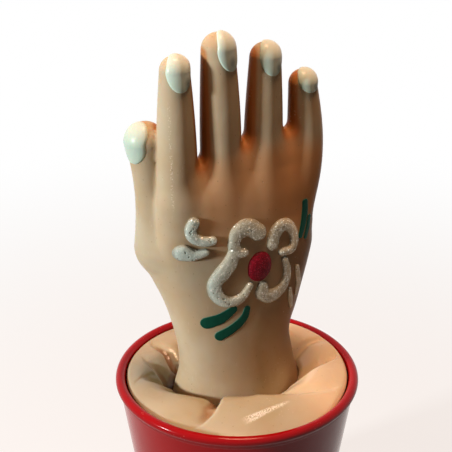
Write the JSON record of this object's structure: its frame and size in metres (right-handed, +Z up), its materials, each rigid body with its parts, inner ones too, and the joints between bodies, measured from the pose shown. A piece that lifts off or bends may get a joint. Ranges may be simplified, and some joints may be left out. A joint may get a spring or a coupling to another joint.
{
  "type": "glove display hand",
  "caption": "Upright hand in a stretched rubber glove with raised painted nails and a flower on its back, standing on a post in a round gloss pot with the cuff bunched inside the lip.",
  "frame": {"origin": "middle of the pot's base, level with the undersides of its four feet", "axes": "+Z up along the hand; the back of the hand with the flower faces -Y; the thumb points to -X"},
  "size_m": [0.1296, 0.1296, 0.2999],
  "materials": {
    "pot_gloss": "deep red, high gloss",
    "plaster": "cast plaster, matt",
    "post_wood": "plain planed wood",
    "former_foam": "rigid foam, matt",
    "glove_rubber": "stretched flesh-coloured rubber, semi-gloss, slightly see-through",
    "nail_paint": "raised pale mint paint, gloss",
    "petal_paint": "raised grey-beige paint with fine glitter",
    "centre_paint": "raised dark red paint with fine glitter",
    "leaf_paint": "flat dark green paint"
  },
  "bodies": {
    "pot_body": {"pot": "pot_gloss", "ballast": "plaster"},
    "hand_body": {"support_post": "post_wood", "hand_former": "former_foam", "glove_skin": "glove_rubber", "glove_cuff": "glove_rubber", "nail_thumb": "nail_paint", "nail_index": "nail_paint", "nail_middle": "nail_paint", "nail_ring": "nail_paint", "nail_little": "nail_paint", "petals_left": "petal_paint", "petal_upper_right": "petal_paint", "petal_lower_right": "petal_paint", "side_hook": "petal_paint", "side_drop": "petal_paint", "edge_stroke_upper": "petal_paint", "edge_stroke_lower": "petal_paint", "flower_centre": "centre_paint", "leaf_left_upper": "leaf_paint", "leaf_left_lower": "leaf_paint", "leaf_right_inner": "leaf_paint", "leaf_right_outer": "leaf_paint"}
  },
  "joints": [
    {"name": "hand_lift", "type": "slide", "parent": "pot_body", "child": "hand_body", "axis": [0, 0, 1], "range_m": [0, 0.11]}
  ]
}
